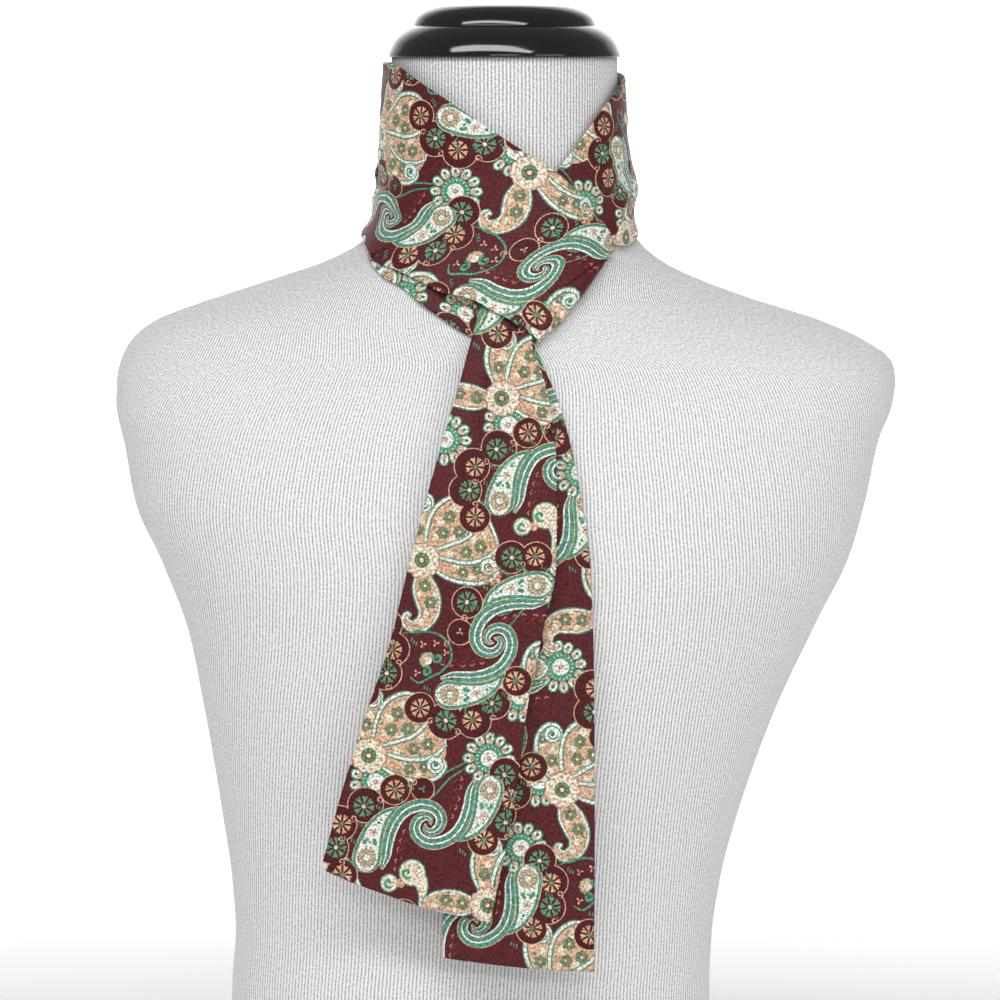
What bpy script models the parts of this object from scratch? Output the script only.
"""Silk cravat knotted round the neck of a limbless dress form, in metres with +Z up.

The origin is the centre of the form's flat underside, and the front of the form faces -Y.
A place on the form is an angle round it, 0 at the front and 90 at +X, and a height.
A lift is a distance out from the form's surface.
"""

import math

import bmesh
import bpy
import numpy as np

mm = 0.001

# Driving sizes, in millimetres
NECK_TOP = 634.0
CAP_GAP = 0.3
CLOTH_WALL = 1.6
FOLD_RETURN = 15.0
FORM_SIDES = 48
RING_STEP = 30.0
SHOULDER_RING_STEP = 6.0
SHOULDER_LOW = 470.0
SHOULDER_HIGH = 545.0
TURNED_UNDER_LIFT = 1.5
PLUMB_FROM = 478.0

# Level sections of the form, in millimetres
# height, half width, sideways shift, front depth, back depth, squareness
FORM_SECTIONS = [
    (0, 146, -20, 112, 104, 2.35),
    (60, 140, -20, 104, 97, 2.35),
    (100, 139, -19.5, 101, 92, 2.35),
    (122, 138.6, -18, 100, 90, 2.35),
    (157, 142, -16.5, 102, 90, 2.35),
    (192, 149, -14.5, 106, 93, 2.35),
    (227, 157.5, -11.5, 111, 98, 2.4),
    (261, 167, -8, 115, 102, 2.45),
    (308, 183, -2, 119, 108, 2.5),
    (342, 198, 0, 120, 112, 2.6),
    (377, 211, -2.5, 118, 115, 2.6),
    (412, 218, -2, 111, 115, 2.6),
    (435, 224.5, 0, 104, 113, 2.6),
    (447, 225, 1, 99, 110, 2.6),
    (458, 223, 1, 95, 107, 2.5),
    (470, 212, -4, 90, 102, 2.4),
    (482, 191, -10, 84, 95, 2.3),
    (493, 158.6, -13, 79, 87, 2.15),
    (505, 123.8, -11, 74, 80, 2.0),
    (516, 96.3, -6, 70, 74, 2.0),
    (528, 79, -2, 67.5, 70, 2.0),
    (542, 70, 0, 66, 67.5, 2.0),
    (560, 67, 0, 65, 66, 2.0),
    (590, 65.5, 0, 65, 65, 2.0),
    (NECK_TOP, 65, 0, 65, 65, 2.0),
]

# Outer profile of the turned cap, in millimetres above the neck's top
# radius, height
CAP_PROFILE = [
    (0.0, 30.0),
    (36.0, 30.0),
    (42.5, 28.6),
    (47.6, 25.6),
    (51.0, 22.2),
    (53.2, 18.6),
    (54.0, 17.2),
    (57.6, 15.6),
    (61.4, 12.6),
    (64.6, 9.0),
    (66.6, 5.4),
    (67.5, 2.4),
    (67.2, CAP_GAP),
    (0.0, CAP_GAP),
]

# Each stretch of cloth on the neck has a row for each station along its length
# upper angle, upper height, lower angle, lower height, upper lift, belly, lower lift, upward bow
FRONT_WRAP = [
    (-82, 630, -84, 529.5, 4.2, 2.6, 3.8, 0),
    (-63.7, 628.6, -58, 522.0, 4.6, 2.6, 4.2, 0),
    (-39.4, 616.7, -38.8, 513.4, 5.2, 2.0, 4.6, 0),
    (-20.7, 603.9, -26.9, 509.6, 5.8, 1.6, 5.0, 0),
    (-2.1, 588.7, -15.1, 503.3, 6.2, 1.8, 5.8, 0),
    (11.5, 577.4, -8.8, 497.7, 6.6, 2.4, 7.4, 0),
    (23.7, 567.7, -4.5, 495.2, 6.8, 3.2, 9.2, 0),
    (33.0, 557.5, -1.7, 493.1, 7.0, 3.4, 10.0, 1),
    (42.5, 544.0, 1.4, 487.4, 7.0, 3.0, 10.0, 3),
    (47.6, 531.0, 4.0, 481.0, 6.9, 2.0, 9.4, 5),
    (44.4, 521.4, 5.9, 473.4, 6.8, 1.2, 8.6, 6),
]
NECK_RIGHT = [
    (80, 620, 82, 530.5, 3.8, 2.6, 2.2, 0),
    (73.2, 617.1, 69, 526.8, 3.8, 2.6, 2.5, 0),
    (51.6, 601.3, 56.3, 524.0, 3.8, 1.6, 3.4, 0),
    (36.7, 583.9, 45.4, 524.8, 3.8, 0.6, 3.8, 0),
    (24.4, 567.7, 36.0, 519.0, 3.8, 0.0, 3.8, 0),
    (13.0, 551.0, 26.5, 509.0, 3.8, 0.0, 3.8, 0),
    (5.0, 532.0, 18.0, 498.0, 3.8, 0.0, 3.8, 0),
    (0.0, 512.0, 11.5, 488.0, 3.8, 0.0, 3.8, 0),
    (-1.8, 494.0, 7.6, 481.6, 3.8, 0.0, 3.8, 0),
    (-1.8, 478.2, 6.3, 478.2, 3.8, 0.0, 3.8, 0),
]
NECK_BACK = [
    (80.4, 620, 82.4, 530.5, 3.8, 2.6, 2.2, 0),
    (92, 622, 92, 532, 3.6, 2.6, 2.2, 0),
    (106, 624, 104, 534, 3.4, 2.4, 2.4, 0),
    (135, 626, 135, 535, 3.0, 1.8, 2.4, 0),
    (180, 628, 180, 535, 2.8, 1.4, 2.4, 0),
    (225, 629, 225, 534, 3.0, 1.6, 2.8, 0),
    (256, 630, 254, 531, 3.8, 2.4, 3.6, 0),
    (277.6, 630, 275.6, 529.5, 4.2, 2.6, 3.8, 0),
]
LEFT_UNDERFOLD = [
    (-104, 537, -105, 531.0, 1.5, 0.3, 1.6, 0),
    (-82, 536, -84, 528.4, 1.5, 0.3, 1.7, 0),
    (-64, 532, -62, 523.2, 1.5, 0.3, 2.0, 0),
    (-46, 527, -47, 516.2, 1.5, 0.3, 2.2, 0),
    (-30, 520, -31, 508.2, 1.5, 0.3, 2.2, 0),
    (-19, 513, -19.6, 501.6, 1.5, 0.3, 2.2, 0),
    (-11.4, 505, -12.6, 493.6, 1.5, 0.3, 2.2, 0),
    (-7.4, 496, -7.6, 485.6, 1.5, 0.2, 2.0, 0),
    (-5.0, 487, -4.9, 478.6, 1.5, 0.1, 1.8, 0),
]

# Places where every layer stands off the neck: angle, height, spread in degrees, spread up, lift
SWELLS = [
    (97, 558, 15, 15, 4.6),
    (-97, 545, 16, 13, 1.8),
]

# Hanging tails, in millimetres, with a row for each station down the length
# left x, left height, right x, right height, lift, depth of the folds, sag of the middle
TAIL_FRONT = [
    (-9.0, 503.0, 16.0, 501.0, 6.2, 0.2, 0),
    (-15.4, 486.0, 15.6, 488.0, 6.3, 0.3, 0),
    (-18.8, 474.0, 15.2, 473.7, 6.5, 0.6, 0),
    (-22.6, 460.0, 20.0, 459.0, 8.0, 2.0, 0),
    (-25.8, 448.6, 24.0, 445.0, 9.0, 2.6, 0),
    (-36.0, 414.4, 28.3, 416.0, 9.6, 2.6, 0),
    (-45.4, 381.0, 29.0, 384.0, 9.8, 2.2, 0),
    (-53.6, 349.6, 28.6, 350.8, 9.8, 2.0, 0),
    (-63.6, 308.6, 20.8, 312.0, 10.0, 1.9, 0),
    (-77.6, 266.2, 12.4, 270.0, 10.4, 1.8, 0),
    (-90.8, 223.7, 6.2, 222.0, 10.8, 1.8, 2),
    (-102.8, 179.6, -8.2, 150.5, 11.0, 1.8, 3),
]
TAIL_REAR = [
    (-14.0, 477.6, 14.0, 477.6, 3.8, 0.0, 0),
    (-16.0, 461.4, 21.0, 461.4, 3.8, 0.2, 0),
    (-19.0, 439.4, 30.4, 439.4, 3.9, 0.5, 0),
    (-22.0, 418.6, 36.3, 418.6, 4.0, 0.5, 0),
    (-25.0, 392.1, 42.1, 392.1, 4.0, 0.6, 0),
    (-28.0, 364.1, 46.2, 364.1, 4.0, 0.6, 0),
    (-30.0, 334.7, 48.6, 334.7, 4.0, 0.6, 0),
    (-33.0, 274.5, 50.0, 274.5, 4.0, 0.6, 0),
    (-34.6, 200.0, 50.4, 200.0, 4.0, 0.6, 0),
    (-34.6, 129.4, 50.2, 121.4, 4.0, 0.6, 1.5),
]

# Folds that run down a tail: place across it from 0 to 1, width of the fold, share of its depth
TAIL_FRONT_FOLDS = [
    (0.16, 0.10, 0.8),
    (0.38, 0.08, -0.9),
    (0.60, 0.12, 1.0),
    (0.82, 0.07, -0.7),
]
TAIL_REAR_FOLDS = [
    (0.25, 0.16, -1.0),
    (0.70, 0.14, 1.0),
]

COLOURS = {
    "silk": ((0.130, 0.030, 0.032, 1.0), 0.45, 0.0),
    "form_cover": ((0.80, 0.80, 0.81, 1.0), 0.85, 0.0),
    "form_cap": ((0.010, 0.010, 0.011, 1.0), 0.12, 0.0),
}


def clear_scene():
    for obj in list(bpy.data.objects):
        bpy.data.objects.remove(obj, do_unlink=True)


def smooth_column(places, values, at):
    """Monotone cubic curve through a column of a table."""
    places = np.asarray(places, float)
    values = np.asarray(values, float)
    at = np.clip(np.asarray(at, float), places[0], places[-1])
    steps = np.diff(places)
    slopes = np.diff(values) / steps
    tangents = np.zeros_like(values)
    tangents[0] = slopes[0]
    tangents[-1] = slopes[-1]
    for i in range(1, len(values) - 1):
        if slopes[i - 1] * slopes[i] > 0:
            before = 2 * steps[i] + steps[i - 1]
            after = steps[i] + 2 * steps[i - 1]
            tangents[i] = (before + after) / (before / slopes[i - 1] + after / slopes[i])
    left = np.clip(np.searchsorted(places, at, side="right") - 1, 0, len(steps) - 1)
    span = steps[left]
    share = (at - places[left]) / span
    start = (1 + 2 * share) * (1 - share) ** 2 * values[left]
    start = start + share * (1 - share) ** 2 * span * tangents[left]
    end = share ** 2 * (3 - 2 * share) * values[left + 1]
    end = end + share ** 2 * (share - 1) * span * tangents[left + 1]
    return start + end


def table_at(rows, at, places=None):
    """Every column of a table at a station, counted in rows or in the given places."""
    if places is None:
        places = range(len(rows))
    return [float(smooth_column(places, column, at)) for column in zip(*rows)]


def fine_sections():
    """The form's sections read from the smooth curves at every half millimetre of height."""
    heights = [row[0] for row in FORM_SECTIONS]
    fine = np.arange(0.0, NECK_TOP + 0.5, 0.5)
    return fine, [smooth_column(heights, column, fine) for column in list(zip(*FORM_SECTIONS))[1:]]


FINE_HEIGHTS, FINE_COLUMNS = fine_sections()


def form_section(height):
    return [float(np.interp(height, FINE_HEIGHTS, column)) for column in FINE_COLUMNS]


def form_point(angle, height):
    """Point of the form's surface at an angle in degrees and a height."""
    half, shift, front, back, square = form_section(height)
    side = math.sin(math.radians(angle))
    ahead = math.cos(math.radians(angle))
    reach = (abs(side) ** square + abs(ahead) ** square) ** (-1 / square)
    depth = front if ahead > 0 else back
    return np.array([shift + half * reach * side, -depth * reach * ahead, height])


def form_slopes(angle, height):
    """Change of the surface point for each degree and for each millimetre of height."""
    around = (form_point(angle + 0.1, height) - form_point(angle - 0.1, height)) / 0.2
    along = form_point(angle, height + 0.5) - form_point(angle, height - 0.5)
    return around, along


def over_form(angle, height, lift):
    """Point at a lift out from the form's surface."""
    around, along = form_slopes(angle, height)
    normal = np.cross(around, along)
    normal = normal / np.linalg.norm(normal)
    return form_point(angle, height) + normal * lift


def front_depth(x, height):
    """How far the form's front stands before its middle at one x and height."""
    half, shift, front, _, square = form_section(height)
    share = min(abs(x - shift) / half, 1.0)
    return front * (1 - share ** square) ** (1 / square)


def plumb_depth(x, height):
    """Depth of cloth that falls straight from the fullest part of the chest above it."""
    deepest = front_depth(x, height)
    above = height
    while above < PLUMB_FROM:
        deepest = max(deepest, front_depth(x, above))
        above += 6.0
    return deepest


def add_object(name, mesh, collection, finish):
    obj = bpy.data.objects.new(name, mesh)
    collection.objects.link(obj)
    material = bpy.data.materials.get(finish)
    if material is None:
        colour, roughness, metallic = COLOURS[finish]
        material = bpy.data.materials.new(finish)
        material.use_nodes = True
        shader = material.node_tree.nodes["Principled BSDF"]
        shader.inputs["Base Color"].default_value = colour
        shader.inputs["Roughness"].default_value = roughness
        shader.inputs["Metallic"].default_value = metallic
    mesh.materials.append(material)
    mesh.shade_smooth()
    return obj


def loft_sections(name, rings):
    """Closed skin through level rings, from the lowest up, with flat ends."""
    bm = bmesh.new()
    loops = [[bm.verts.new(tuple(p * mm for p in point)) for point in ring] for ring in rings]
    count = len(loops[0])
    for low, high in zip(loops, loops[1:]):
        for i in range(count):
            j = (i + 1) % count
            bm.faces.new((low[i], low[j], high[j], high[i]))
    bm.faces.new(list(reversed(loops[0])))
    bm.faces.new(loops[-1])
    mesh = bpy.data.meshes.new(name)
    bm.to_mesh(mesh)
    bm.free()
    return mesh


def sheet_mesh(name, columns):
    """Open sheet through columns of points, each column running from the upper edge down."""
    bm = bmesh.new()
    lines = [[bm.verts.new(tuple(p * mm for p in point)) for point in column] for column in columns]
    for left, right in zip(lines, lines[1:]):
        for i in range(len(left) - 1):
            bm.faces.new((left[i], left[i + 1], right[i + 1], right[i]))
    mesh = bpy.data.meshes.new(name)
    bm.to_mesh(mesh)
    bm.free()
    return mesh


def add_cloth(name, columns, collection):
    """Cloth wall of even thickness on both sides of a sheet."""
    obj = add_object(name, sheet_mesh(name, columns), collection, "silk")
    wall = obj.modifiers.new("wall", "SOLIDIFY")
    wall.thickness = CLOTH_WALL * mm
    wall.offset = 0.0
    return obj


def band_place(rows, along, across):
    """Angle, height and lift on a neck stretch, along from 0 to 1 and across from 0 to 1."""
    row = table_at(rows, along * (len(rows) - 1))
    angle = row[0] + (row[2] - row[0]) * across
    height = row[1] + (row[3] - row[1]) * across + row[7] * 4 * across * (1 - across)
    lift = row[4] + (row[6] - row[4]) * across
    lift += row[5] * 4 * across * (1 - across)
    for middle, level, spread, rise, extra in SWELLS:
        turned = (angle - middle + 180) % 360 - 180
        lift += extra * math.exp(-(turned / spread) ** 2 - ((height - level) / rise) ** 2)
    return angle, height, lift


def band_columns(rows, length_count, width_count):
    columns = []
    for i in range(length_count + 1):
        column = []
        for j in range(width_count + 1):
            place = band_place(rows, i / length_count, j / width_count)
            column.append(over_form(*place))
        columns.append(column)
    return columns


def turned_edge_columns(rows, width_count, turn_count, return_count):
    """Cloth turned under at a band's last station and laid back behind it."""
    columns = [[] for _ in range(turn_count + return_count)]
    for j in range(width_count + 1):
        across = j / width_count
        angle, height, lift = band_place(rows, 1.0, across)
        near = form_point(*band_place(rows, 1.0, max(across - 0.05, 0.0))[:2])
        far = form_point(*band_place(rows, 1.0, min(across + 0.05, 1.0))[:2])
        edge = (far - near) / np.linalg.norm(far - near)
        around, along = form_slopes(angle, height)
        normal = np.cross(around, along)
        normal = normal / np.linalg.norm(normal)
        away = np.cross(edge, normal)
        base = np.stack([around, along], axis=1)
        per_mm = np.linalg.lstsq(base, -away, rcond=None)[0]
        radius = (lift - TURNED_UNDER_LIFT) / 2
        for k in range(turn_count):
            turn = math.pi * (k + 1) / turn_count
            out = radius * math.sin(turn)
            place_lift = TURNED_UNDER_LIFT + radius + radius * math.cos(turn)
            columns[k].append(form_point(angle, height) + normal * place_lift - away * out)
        for k in range(return_count):
            back = -FOLD_RETURN * (k + 1) / return_count
            shifted = (angle + per_mm[0] * back, height + per_mm[1] * back)
            columns[turn_count + k].append(over_form(*shifted, TURNED_UNDER_LIFT))
    return columns


def fold_height(folds, across):
    """Height of the lengthwise folds at one place across a tail."""
    return sum(share * math.exp(-((across - place) / width) ** 2) for place, width, share in folds)


def tail_columns(rows, folds, length_count, width_count):
    columns = []
    for j in range(width_count + 1):
        across = j / width_count
        column = []
        for i in range(length_count + 1):
            row = table_at(rows, i / length_count * (len(rows) - 1))
            x = row[0] + (row[2] - row[0]) * across
            height = row[1] + (row[3] - row[1]) * across - row[6] * 4 * across * (1 - across)
            slope = (plumb_depth(x, height + 2) - plumb_depth(x, height - 2)) / 4
            lift = row[4] * math.sqrt(1 + slope ** 2) + row[5] * fold_height(folds, across)
            column.append((x, -plumb_depth(x, height) - lift, height))
        columns.append(column)
    return columns


def build_form(collection):
    heights = []
    for low, high in zip(FORM_SECTIONS, FORM_SECTIONS[1:]):
        widest = SHOULDER_RING_STEP if SHOULDER_LOW < high[0] <= SHOULDER_HIGH else RING_STEP
        count = math.ceil((high[0] - low[0]) / widest)
        heights += [low[0] + (high[0] - low[0]) * i / count for i in range(count)]
    heights.append(NECK_TOP)
    step = 360 / FORM_SIDES
    rings = [[form_point(i * step, height) for i in range(FORM_SIDES)] for height in heights]
    add_object("form_torso", loft_sections("form_torso", rings), collection, "form_cover")


def build_cap(collection):
    bm = bmesh.new()
    verts = [bm.verts.new((r * mm, 0.0, (NECK_TOP + h) * mm)) for r, h in CAP_PROFILE]
    for upper, lower in zip(verts, verts[1:]):
        bm.edges.new((upper, lower))
    mesh = bpy.data.meshes.new("form_neck_cap")
    bm.to_mesh(mesh)
    bm.free()
    obj = add_object("form_neck_cap", mesh, collection, "form_cap")
    turn = obj.modifiers.new("turn", "SCREW")
    turn.steps = FORM_SIDES
    turn.render_steps = FORM_SIDES
    turn.use_merge_vertices = True
    turn.merge_threshold = 0.00001
    turn.use_smooth_shade = True


def build_cravat(collection):
    wrap = band_columns(FRONT_WRAP, 40, 12)
    wrap += turned_edge_columns(FRONT_WRAP, 12, 6, 4)
    add_cloth("front_wrap", wrap, collection)
    add_cloth("neck_right", band_columns(NECK_RIGHT, 26, 9), collection)
    add_cloth("neck_back", band_columns(NECK_BACK, 32, 8), collection)
    add_cloth("left_underfold", band_columns(LEFT_UNDERFOLD, 26, 4), collection)
    add_cloth("tail_front", tail_columns(TAIL_FRONT, TAIL_FRONT_FOLDS, 38, 14), collection)
    add_cloth("tail_rear", tail_columns(TAIL_REAR, TAIL_REAR_FOLDS, 32, 10), collection)


clear_scene()
model = bpy.data.collections.new("silk_cravat")
bpy.context.scene.collection.children.link(model)
build_form(model)
build_cap(model)
build_cravat(model)
